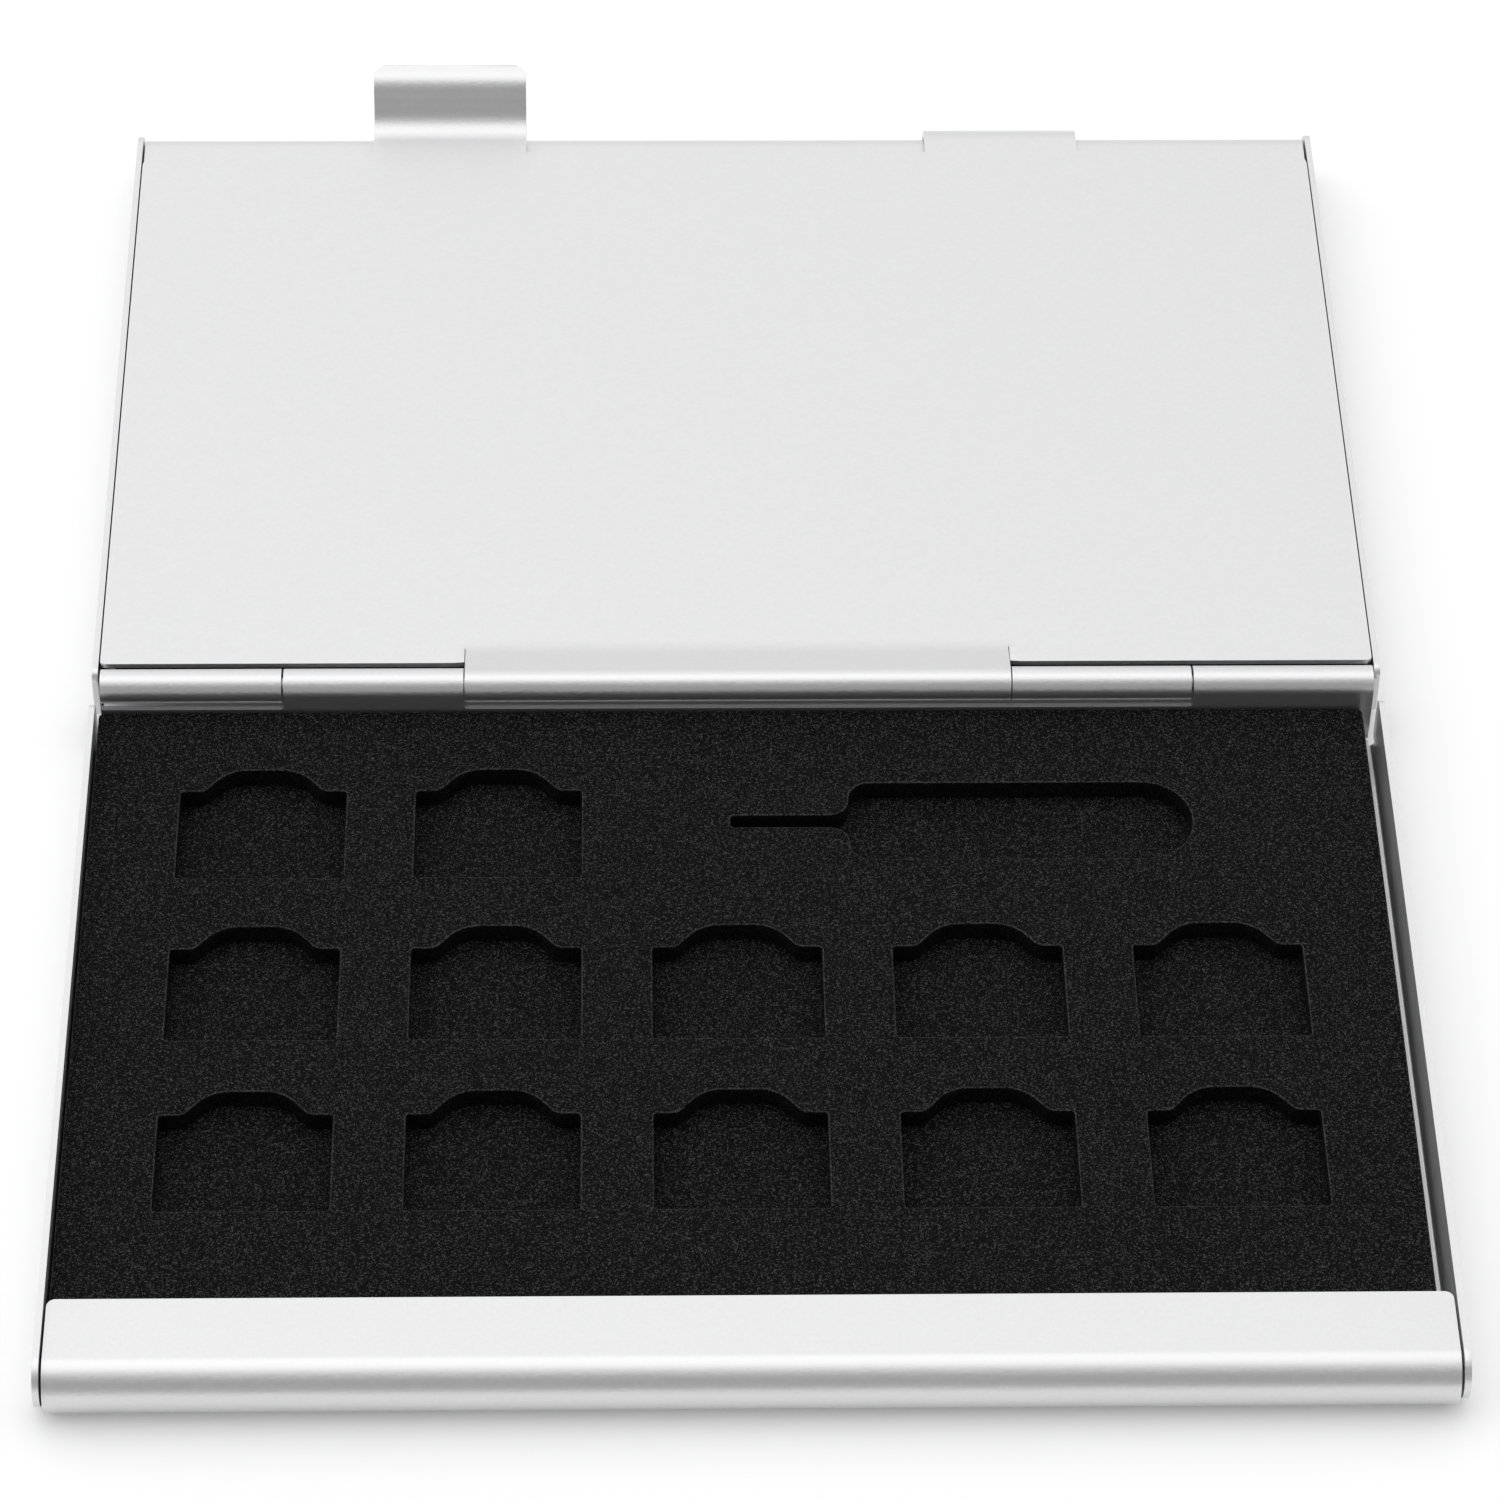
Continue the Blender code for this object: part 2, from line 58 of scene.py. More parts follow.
def place(x, y, z):
    return Vector((x * mm, axisY + y * mm, z * mm))


def leafPlace(point):
    return point.x / mm, (point.y - axisY) / mm, point.z / mm


def near(value, target):
    return abs(value - target) < slack


def pick(kind, test):
    # selects the points, edges or faces whose corners all pass the test
    bpy.ops.mesh.select_mode(type=kind)
    bpy.ops.mesh.select_all(action="DESELECT")
    mesh = bpy.context.edit_object.data
    shape = bmesh.from_edit_mesh(mesh)
    if kind == "VERT":
        found = [point for point in shape.verts if test(*leafPlace(point.co))]
    else:
        items = shape.edges if kind == "EDGE" else shape.faces
        found = [item for item in items if all(test(*leafPlace(v.co)) for v in item.verts)]
    for item in found:
        item.select_set(True)
    bmesh.update_edit_mesh(mesh)
    if not found:
        print("  nothing to pick on", bpy.context.edit_object.name, kind)


def startPlane(name, xRange, yRange, z):
    bpy.ops.object.select_all(action="DESELECT")
    middle = place(sum(xRange) / 2, sum(yRange) / 2, z)
    bpy.ops.mesh.primitive_plane_add(size=1.0, location=middle)
    piece = bpy.context.object
    piece.name = name
    piece.scale = ((xRange[1] - xRange[0]) * mm, (yRange[1] - yRange[0]) * mm, 1.0)
    bpy.ops.object.transform_apply(location=True, rotation=True, scale=True)
    bpy.ops.object.mode_set(mode="EDIT")
    bpy.ops.mesh.select_all(action="SELECT")
    return piece


def extrudeEdges(x=0.0, y=0.0, z=0.0):
    bpy.ops.mesh.extrude_edges_indiv()
    bpy.ops.transform.translate(value=(x * mm, y * mm, z * mm))


def extrudeFace(z):
    bpy.ops.mesh.extrude_region_move(TRANSFORM_OT_translate={"value": (0.0, 0.0, z * mm)})


def spinEdges(angle, centre, axis, stepAngle):
    steps = max(3, round(abs(angle) / stepAngle))
    # the operator turns against the right hand, so the angle is negated
    bpy.ops.mesh.spin(steps=steps, angle=-radians(angle), center=place(*centre), axis=axis)


def roundCorners(spots, size, segments):
    pick("VERT", lambda x, y, z: any(near(x, a) and near(y, b) and near(z, c) for a, b, c in spots))
    bpy.ops.mesh.bevel(affect="VERTICES", offset=size * mm, segments=segments, profile=0.5)


def bisectAt(spot, across):
    bpy.ops.mesh.select_all(action="SELECT")
    bpy.ops.mesh.bisect(plane_co=place(*spot), plane_no=across)


def closeSurface(facing):
    # merges doubles and turns an open sheet so that its widest face looks up (1) or down (-1)
    bpy.ops.mesh.select_mode(type="FACE")
    bpy.ops.mesh.select_all(action="SELECT")
    bpy.ops.mesh.remove_doubles(threshold=mergeGap * mm)
    bpy.ops.mesh.normals_make_consistent(inside=False)
    shape = bmesh.from_edit_mesh(bpy.context.edit_object.data)
    widest = max(shape.faces, key=lambda face: face.calc_area())
    if widest.normal.z * facing < 0:
        bpy.ops.mesh.select_all(action="SELECT")
        bpy.ops.mesh.flip_normals()
    bpy.ops.object.mode_set(mode="OBJECT")


def closeSolid():
    bpy.ops.mesh.select_all(action="SELECT")
    bpy.ops.mesh.remove_doubles(threshold=mergeGap * mm)
    bpy.ops.mesh.normals_make_consistent(inside=False)
    bpy.ops.object.mode_set(mode="OBJECT")


def joinStrips():
    # one face again where the bisects left strips
    bpy.ops.mesh.select_all(action="SELECT")
    bpy.ops.mesh.dissolve_limited(angle_limit=radians(5.0))


def raiseSolid(height):
    # a flat outline becomes a closed solid
    bpy.ops.mesh.select_all(action="SELECT")
    extrudeFace(height)
    closeSolid()


def applyModifier(piece, kind, **settings):
    step = piece.modifiers.new(kind.lower(), kind)
    for name, value in settings.items():
        setattr(step, name, value)
    bpy.context.view_layer.objects.active = piece
    bpy.ops.object.modifier_apply(modifier=step.name)


def thicken(piece, sheet, offset):
    applyModifier(
        piece,
        "SOLIDIFY",
        thickness=sheet * mm,
        offset=offset,
        use_even_offset=True,
        use_quality_normals=True,
    )


def breakEdges(piece, size, segments=3, angle=40.0):
    # the small round that tumbling or die cutting leaves on every edge
    applyModifier(
        piece,
        "BEVEL",
        width=size * mm,
        segments=segments,
        limit_method="ANGLE",
        angle_limit=radians(angle),
        use_clamp_overlap=True,
    )


def cutWith(piece, cutter):
    applyModifier(piece, "BOOLEAN", operation="DIFFERENCE", solver="EXACT", object=cutter)
    bpy.data.objects.remove(cutter, do_unlink=True)


def shadeSmooth(piece, angle=35.0):
    # weighted normals keep the wide flat sides flat next to the small rounds
    bpy.ops.object.select_all(action="DESELECT")
    piece.select_set(True)
    bpy.context.view_layer.objects.active = piece
    bpy.ops.object.shade_smooth_by_angle(angle=radians(angle))
    applyModifier(piece, "WEIGHTED_NORMAL", mode="FACE_AREA", weight=50, keep_sharp=True)
    bpy.ops.object.select_all(action="DESELECT")


def copyOf(piece, name):
    bpy.ops.object.select_all(action="DESELECT")
    piece.select_set(True)
    bpy.context.view_layer.objects.active = piece
    bpy.ops.object.duplicate(linked=False)
    twin = bpy.context.object
    twin.name = name
    return twin


def turnedCopy(piece, name):
    # the lid's twin of a base piece: half a turn about the upright line through the hinge's middle
    twin = copyOf(piece, name)
    bpy.ops.object.mode_set(mode="EDIT")
    bpy.ops.mesh.select_all(action="SELECT")
    bpy.ops.transform.rotate(value=pi, orient_axis="Z", center_override=place(0.0, 0.0, 0.0))
    bpy.ops.object.mode_set(mode="OBJECT")
    return twin


# The camera stands where the photograph's did, worked out from the case's corners

photoCamera = {
    "lens": 137.04,
    "place": (-8.35, -294.184, 304.074),
    "turn": 0.0317,
    "down": 0.8049,
    "tilt": 0.0191,
}
aim = Matrix.Rotation(-photoCamera["turn"], 4, "Z")
aim = aim @ Matrix.Rotation(pi / 2 - photoCamera["down"], 4, "X")
aim = aim @ Matrix.Rotation(photoCamera["tilt"], 4, "Z")
bpy.ops.object.camera_add(location=place(*photoCamera["place"]), rotation=aim.to_euler())
camera = bpy.context.object
camera.name = "photoCamera"
camera.data.lens = photoCamera["lens"]
camera.data.sensor_width = 36.0
camera.data.clip_start = 0.01
bpy.context.scene.camera = camera
print("camera placed")


# Hinge: five barrels on one pin, two of each shell and the long one of the divider

hinge = {
    "stripHalf": 46.7,
    "endBarrel": 13.325,
    "gap": 0.16,
}
innerJoint = hinge["stripHalf"] - 2 * hinge["endBarrel"]
outerJoint = hinge["stripHalf"] - hinge["endBarrel"]

shell = {
    "sheet": 0.45,
    "halfWidth": 47.5,
    "bend": 0.8,  # outside radius of the folded edges
    "noseCentre": -61.5375,
    "noseRadius": 2.2625,
    "noseExtra": 0.2,  # the rolled lip is a hair wider than the floor
    "aboveFloor": 0.1,  # what is picked as nose and lip starts this far up
    "lipBack": -56.65,
    "lipCorner": 0.6,
    "floorRear": -2.1,
    "wallFace": -0.8,
    "curlAngle": 295.0,
    "wallTop": 4.85,
    "wallAhead": 0.2,
    "wallRear": -1.3,
    "rearCorner": 0.8,
    "notchBottom": 3.8,
    "notchCorner": 0.35,
    "notchRound": 0.38,  # the shears leave a rolled edge on the inner side of each notch
    "curlBottom": 3.7,
    "notchSplit": -0.66,  # between the rear wall and the tip of the curl
    "cutOverlap": 0.07,
    "cutReach": 2.5,
    "cutHeight": 5.0,
    "tipShort": 0.005,  # keeps the two rounds of a side wall's front apart
    "edgeRound": 0.09,
}


def notchCutter(span, wall):
    split = shell["notchSplit"]
    reach = shell["cutReach"]
    yRange = (-reach, split) if wall else (split - shell["cutOverlap"], reach)
    cutter = startPlane("notchCutter", span, yRange, shell["notchBottom" if wall else "curlBottom"])
    extrudeFace(shell["cutHeight"])
    if wall:
        for end in span:
            pick("EDGE", lambda x, y, z: near(x, end) and near(z, shell["notchBottom"]))
            bpy.ops.mesh.bevel(offset=shell["notchCorner"] * mm, segments=5, profile=0.5)
    closeSolid()
    return cutter


def buildShell(name):
    strip = hinge["stripHalf"]
    front = shell["noseCentre"]
    rear = shell["floorRear"]
    bend = shell["bend"]
    top = shell["wallTop"]
    ahead = front - shell["wallAhead"]
    tipRadius = (top - bend) / 2
    piece = startPlane(name, (-strip, strip), (front, rear), 0.0)

    # rolled nose, then the lip over the foam
    pick("EDGE", lambda x, y, z: near(y, front))
    spinEdges(-180.0, (0.0, front, shell["noseRadius"]), (1, 0, 0), rollStep)
    extrudeEdges(y=shell["lipBack"] - front)

    # rear wall, then the barrel curled from its top
    pick("EDGE", lambda x, y, z: near(y, rear))
    extrudeEdges(y=shell["wallFace"] - bend - rear)
    spinEdges(90.0, (0.0, shell["wallFace"] - bend, bend), (1, 0, 0), foldStep)
    extrudeEdges(z=axisHeight - bend)
    spinEdges(-shell["curlAngle"], (0.0, 0.0, axisHeight), (1, 0, 0), rollStep)

    # side walls with a round front and a round rear corner
    for side in (-1, 1):
        edge = side * strip
        face = side * shell["halfWidth"]
        pick(
            "EDGE",
            lambda x, y, z: near(x, edge) and near(z, 0.0) and front - slack < y < rear + slack,
        )
        spinEdges(-side * 90.0, (edge, 0.0, bend), (0, 1, 0), foldStep)
        extrudeEdges(z=top - bend)
        pick("EDGE", lambda x, y, z: near(y, front) and x * side > strip - slack and z < top + slack)
        extrudeEdges(y=-shell["wallAhead"])
        pick("EDGE", lambda x, y, z: near(y, ahead) and near(x, face) and z > bend - slack)
        extrudeEdges(y=-tipRadius)
        pick("EDGE", lambda x, y, z: near(y, rear) and near(x, face) and z > bend - slack)
        extrudeEdges(y=shell["wallRear"] - rear)
        tip = ahead - tipRadius
        tipRound = tipRadius - shell["tipShort"]
        roundCorners([(face, tip, bend), (face, tip, top)], tipRound, segments=12)
        roundCorners([(face, shell["wallRear"], top)], shell["rearCorner"], segments=6)
    lipCorners = [(side * strip, shell["lipBack"], 2 * shell["noseRadius"]) for side in (-1, 1)]
    roundCorners(lipCorners, shell["lipCorner"], segments=6)
    above = shell["aboveFloor"]
    pick("VERT", lambda x, y, z: y < shell["lipBack"] + above and z > above and abs(x) < strip + slack)
    wider = (strip + shell["noseExtra"]) / strip
    bpy.ops.transform.resize(value=(wider, 1.0, 1.0), center_override=place(0.0, 0.0, 0.0))
    closeSurface(-1)
    thicken(piece, shell["sheet"], -1.0)

    # notches for the other leaves' barrels
    half = hinge["gap"] / 2
    spans = [(-strip - half, -outerJoint + half), (-innerJoint - half, outerJoint + half)]
    for span in spans:
        cutWith(piece, notchCutter(span, True))
        cutWith(piece, notchCutter(span, False))
    inner = shell["wallFace"] - shell["sheet"]
    bpy.ops.object.mode_set(mode="EDIT")
    pick("EDGE", lambda x, y, z: near(y, inner) and near(z, shell["notchBottom"]))
    bpy.ops.mesh.bevel(offset=shell["notchRound"] * mm, segments=6, profile=0.5)
    bpy.ops.object.mode_set(mode="OBJECT")
    breakEdges(piece, shell["edgeRound"])
    shadeSmooth(piece)
    return piece


# Divider leaf: one sheet with the long barrel curled from its rear edge and a tab each way

divider = {
    "sheet": 0.45,
    "halfWidth": 46.9,
    "farEdge": 60.1,
    "rearEdge": 2.1,
    "farCorner": 1.6,
    "rearCorner": 0.4,
    "curlRadius": 1.025,  # middle of the sheet
    "rampStart": 3.6,
    "rampBend": 5.0,
    "rampBlend": 0.9,
    "rampStep": 3.0,
    "slit": 0.04,  # between the tongue that turns up into the barrel and the flat of the plate
    "slitPast": 0.05,
    "besideSlit": 0.15,  # the part of the tongue's rise that the plate beside it keeps
    "curlEnd": -10.0,
    "tabIn": 16.1,
    "tabOut": 28.4,
    "tabFlat": 1.5,
    "rootBend": 2.825,  # middle of the sheet, so that the tab wraps the shell's nose
    "topBend": 2.0,
    "tabSteepest": 77.5,
    "tabSlope": 15.0,
    "tabStep": 5.0,
    "tabTip": 0.7,
    "bendRows": 6,  # rows of the last bend that the tip's corners may reach
    "tipRows": (0.25, 0.2, 0.13, 0.08, 0.04),  # mm between the rows of the tip
    "tipCorner": 1.2,
    "edgeRound": 0.06,
}


def buildTab(turn):
    # turn 1 goes up on the left, turn -1 down on the right
    far = divider["farEdge"]
    level = axisHeight
    steep = divider["tabSteepest"]
    rootBend = divider["rootBend"]
    topBend = divider["topBend"]
    tilt = radians(divider["tabSlope"])
    fall = steep - divider["tabSlope"]
    middle = -turn * (divider["tabIn"] + divider["tabOut"]) / 2
    half = (divider["tabOut"] - divider["tabIn"]) / 2
    root = far + divider["tabFlat"]
    pick("EDGE", lambda x, y, z: near(y, far) and abs(x - middle) < half + slack)
    extrudeEdges(y=divider["tabFlat"])
    spinEdges(turn * steep, (0.0, root, level + turn * rootBend), (1, 0, 0), divider["tabStep"])
    overY = root + (rootBend + topBend) * sin(radians(steep))
    overZ = level + turn * (rootBend - (rootBend + topBend) * cos(radians(steep)))
    fallStep = fall / round(fall / divider["tabStep"])
    spinEdges(-turn * fall, (0.0, overY, overZ), (1, 0, 0), fallStep)
    rows = []
    for number in range(divider["bendRows"]):
        angle = tilt + radians(number * fallStep)
        back = divider["tabTip"] + topBend * (angle - tilt)
        rows.append((overY - topBend * sin(angle), overZ + turn * topBend * cos(angle), back))
    y, z, back = rows[0]
    for step in divider["tipRows"]:
        extrudeEdges(y=step * cos(tilt), z=turn * step * sin(tilt))
        y += step * cos(tilt)
        z += turn * step * sin(tilt)
        back -= step
        rows.append((y, z, back))

    # the rows near the tip draw in to its round corners
    corner = divider["tipCorner"]
    for rowY, rowZ, back in rows:
        if back < corner:
            inset = corner - sqrt(corner**2 - (corner - back) ** 2)
            narrower = (half - inset) / half
            reach = half + slack
            pick("VERT", lambda x, y, z: near(y, rowY) and near(z, rowZ) and abs(x - middle) < reach)
            bpy.ops.transform.resize(
                value=(narrower, 1.0, 1.0), center_override=place(middle, 0.0, level)
            )


def buildDivider(name):
    half = divider["halfWidth"]
    far = divider["farEdge"]
    level = axisHeight
    touch = degrees(acos(divider["curlRadius"] / divider["rampStart"]))
    slope = 90.0 - touch
    bendReach = divider["rampBend"] * tan(radians(slope / 2))
    bendEnd = divider["rampStart"] + bendReach
    piece = startPlane(name, (-half, half), (bendEnd, far), level)
    blend = innerJoint + divider["rampBlend"]
    for column in (innerJoint, blend, divider["tabIn"], divider["tabOut"]):
        bisectAt((column, 0.0, 0.0), (1, 0, 0))
        bisectAt((-column, 0.0, 0.0), (1, 0, 0))

    # the rear edge bends up towards the hinge in its middle part only
    pick("EDGE", lambda x, y, z: near(y, bendEnd))
    spinEdges(-slope, (0.0, bendEnd, level + divider["rampBend"]), (1, 0, 0), divider["rampStep"])
    bendY = bendEnd - divider["rampBend"] * sin(radians(slope))
    bendZ = level + divider["rampBend"] * (1.0 - cos(radians(slope)))
    raised = level + (divider["rampStart"] - divider["rearEdge"]) * tan(radians(slope))
    extrudeEdges(y=divider["rearEdge"] - bendY, z=raised - bendZ)
    pick("VERT", lambda x, y, z: y < bendEnd - slack and abs(x) > blend - slack)
    bpy.ops.transform.resize(value=(1.0, 1.0, 0.0), center_override=place(0.0, 0.0, level))

    # a slit on each side frees the tongue, and the plate beside it stays nearly flat
    slitEnd = divider["rampStart"] + divider["slitPast"]
    pick("EDGE", lambda x, y, z: near(abs(x), innerJoint) and y < slitEnd)
    bpy.ops.mesh.edge_split(type="EDGE")
    for side in (-1, 1):
        pick("FACE", lambda x, y, z: innerJoint - slack < x * side < blend + slack and y < slitEnd)
        bpy.ops.mesh.select_mode(type="VERT")
        shape = bmesh.from_edit_mesh(piece.data)
        for point in shape.verts:
            if point.select and not near(point.co.x / mm, side * innerJoint):
                point.select_set(False)
        bmesh.update_edit_mesh(piece.data)
        bpy.ops.transform.resize(
            value=(1.0, 1.0, divider["besideSlit"]), center_override=place(0.0, 0.0, level)
        )
        bpy.ops.transform.translate(value=(side * divider["slit"] * mm, 0.0, 0.0))

    # the tongue runs on to the barrel and curls round the pin
    rear = divider["rearEdge"]
    pick("EDGE", lambda x, y, z: near(y, rear) and near(z, raised) and abs(x) < innerJoint + slack)
    touchY = divider["curlRadius"] * cos(radians(touch))
    touchZ = divider["curlRadius"] * sin(radians(touch))
    extrudeEdges(y=touchY - rear, z=level + touchZ - raised)
    spinEdges(360.0 + divider["curlEnd"] - touch, (0.0, 0.0, level), (1, 0, 0), rollStep)

    for turn in (1, -1):
        buildTab(turn)
    for y, size, segments in ((far, divider["farCorner"], 8), (rear, divider["rearCorner"], 5)):
        roundCorners([(side * half, y, level) for side in (-1, 1)], size, segments)
    closeSurface(1)
    thicken(piece, divider["sheet"], 0.0)
    breakEdges(piece, divider["edgeRound"])
    shadeSmooth(piece)
    return piece


# Foam: a whole backing sheet under a die-cut sheet, both a loose fit in the shell

foam = {
    "left": -46.85,
    "right": 45.95,
    "front": -61.5375,
    "rear": -1.45,
    "corner": 0.5,
    "backing": (0.8, 2.075),
    "pockets": (2.175, 3.775),
    "rimRound": 0.16,
    "cutBelow": 0.5,
    "cutHeight": 3.0,
}
pocket = {
    "width": 12.0,
    "height": 8.5,
    "corner": 0.25,
    "bumpWidth": 8.6,
    "bumpTop": 5.0,
    "bumpRise": 2.1,
    "rootRound": 0.41,
    "topRound": 1.19,
    "columnPitch": 17.0,
    "firstRow": -44.3,
    "rowPitch": 15.3,
    "rows": (5, 5, 2),
}
pinSlot = {
    "start": -0.3,
    "rise": 1.1,
    "needleLength": 8.6,
    "needleWidth": 1.15,
    "headLength": 24.8,
    "headHeight": 7.5,
    "headRound": 3.67,
    "neckRound": 1.5,
    "tipRound": 0.3,
}


def pocketCutter(x, y, bottom):
    right = pocket["width"] / 2
    rear = pocket["height"] / 2
    bump = pocket["bumpWidth"] / 2
    cutter = startPlane("pocketCutter", (x - right, x + right), (y - rear, y + rear), bottom)
    bisectAt((x - bump, 0.0, 0.0), (1, 0, 0))
    bisectAt((x + bump, 0.0, 0.0), (1, 0, 0))
    pick("EDGE", lambda a, b, c: near(b, y + rear) and abs(a - x) < bump + slack)
    extrudeEdges(y=pocket["bumpRise"])
    narrower = pocket["bumpTop"] / pocket["bumpWidth"]
    bpy.ops.transform.resize(value=(narrower, 1.0, 1.0), center_override=place(x, y, bottom))
    joinStrips()
    crown = pocket["bumpTop"] / 2
    high = y + rear + pocket["bumpRise"]
    corners = [(x + a * right, y + b * rear, bottom) for a in (-1, 1) for b in (-1, 1)]
    roundCorners(corners, pocket["corner"], segments=4)
    roundCorners([(x + a * bump, y + rear, bottom) for a in (-1, 1)], pocket["rootRound"], segments=5)
    roundCorners([(x + a * crown, high, bottom) for a in (-1, 1)], pocket["topRound"], segments=8)
    raiseSolid(foam["cutHeight"])
    return cutter


def pinCutter(x, y, bottom):
    thin = pinSlot["needleWidth"] / 2
    wide = pinSlot["headHeight"] / 2
    neck = x + pinSlot["needleLength"]
    end = neck + pinSlot["headLength"]
    cutter = startPlane("pinCutter", (neck, end), (y - wide, y + wide), bottom)
    bisectAt((0.0, y - thin, 0.0), (0, 1, 0))
    bisectAt((0.0, y + thin, 0.0), (0, 1, 0))
    pick("EDGE", lambda a, b, c: near(a, neck) and abs(b - y) < thin + slack)
    extrudeEdges(x=-pinSlot["needleLength"])
    joinStrips()
    for cornerX, half, size, segments in (
        (end, wide, pinSlot["headRound"], 12),
        (neck, wide, pinSlot["neckRound"], 8),
        (neck, thin, pinSlot["neckRound"], 8),
        (x, thin, pinSlot["tipRound"], 4),
    ):
        roundCorners([(cornerX, y + b * half, bottom) for b in (-1, 1)], size, segments)
    raiseSolid(foam["cutHeight"])
    return cutter


def foamBlock(name, layer):
    left = foam["left"]
    right = foam["right"]
    front = foam["front"]
    rear = foam["rear"]
    piece = startPlane(name, (left, right), (front, rear), layer[0])
    corners = [(x, y, layer[0]) for x in (left, right) for y in (front, rear)]
    roundCorners(corners, foam["corner"], segments=4)
    raiseSolid(layer[1] - layer[0])
    return piece


def roundRims(piece):
    breakEdges(piece, foam["rimRound"], angle=60.0)
    shadeSmooth(piece, 50.0)


def buildPocketFoam(name):
    piece = foamBlock(name, foam["pockets"])
    bottom = foam["pockets"][0] - foam["cutBelow"]
    middle = (foam["left"] + foam["right"]) / 2
    first = pocketCutter(middle - 2 * pocket["columnPitch"], pocket["firstRow"], bottom)
    cutters = [first]
    for row, count in enumerate(pocket["rows"]):
        for column in range(count):
            if row or column:
                twin = copyOf(first, "pocketCutter")
                step = (column * pocket["columnPitch"] * mm, row * pocket["rowPitch"] * mm, 0.0)
                bpy.ops.transform.translate(value=step)
                cutters.append(twin)
    lastRow = pocket["firstRow"] + 2 * pocket["rowPitch"]
    cutters.append(pinCutter(middle + pinSlot["start"], lastRow + pinSlot["rise"], bottom))
    bpy.ops.object.select_all(action="DESELECT")
    for cutter in cutters:
        cutter.select_set(True)
    bpy.context.view_layer.objects.active = first
    bpy.ops.object.join()
    cutWith(piece, first)
    roundRims(piece)
    return piece


def buildBackingFoam(name):
    piece = foamBlock(name, foam["backing"])
    roundRims(piece)
    return piece


baseShell = buildShell("baseShell")
lidShell = turnedCopy(baseShell, "lidShell")
print("shells folded")
dividerLeaf = buildDivider("dividerLeaf")
print("divider folded")
basePocketFoam = buildPocketFoam("basePocketFoam")
lidPocketFoam = turnedCopy(basePocketFoam, "lidPocketFoam")
baseBackingFoam = buildBackingFoam("baseBackingFoam")
lidBackingFoam = turnedCopy(baseBackingFoam, "lidBackingFoam")
print("foam cut")

for piece, body, node in (
    (baseShell, "base", "base_shell"),
    (lidShell, "lid", "lid_shell"),
    (dividerLeaf, "divider", "divider_leaf"),
    (basePocketFoam, "base", "base_pocket_foam"),
    (baseBackingFoam, "base", "base_backing_foam"),
    (lidPocketFoam, "lid", "lid_pocket_foam"),
    (lidBackingFoam, "lid", "lid_backing_foam"),
):
    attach(piece, body)
    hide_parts(node)


# Materials

def linearFrom(hexColour):
    channels = [int(hexColour[k : k + 2], 16) / 255.0 for k in (1, 3, 5)]
    return [c / 12.92 if c <= 0.04045 else ((c + 0.055) / 1.055) ** 2.4 for c in channels] + [1.0]


def addNode(tree, kind, settings=None, values=None, links=None):
    node = tree.nodes.new(kind)
    for name, value in (settings or {}).items():
        setattr(node, name, value)
    for name, value in (values or {}).items():
        node.inputs[name].default_value = value
    for name, source in (links or {}).items():
        tree.links.new(source, node.inputs[name])
    return node


def newMaterial(name):
    finish = bpy.data.materials.new(name)
    finish.use_nodes = True
    tree = finish.node_tree
    return finish, tree, tree.nodes["Principled BSDF"]


aluminium = {
    "metallic": 0.88,  # the etched oxide skin scatters a little light
    "roughness": (0.32, 0.38),
    "shades": ("#dadadb", "#dfdfe0"),
    "spread": (0.3, 0.7),  # the part of the grain's range that the shades and roughness span
    "grainWidth": 0.1,
    "pitSize": 0.3,  # real etch pits are about 0.01 mm across, drawn coarser so that they show
    "pitShare": 0.65,
    "wallFrom": 0.5,  # where the surface turns into a side wall, by how far it faces sideways
    "wallFull": 0.8,
    "flatFrom": 0.97,  # and where it counts as flat, by how far it faces up or sideways
    "rolledFrom": 0.8,
    "flatRelief": 0.15,
    "reliefDepth": 0.02,
}


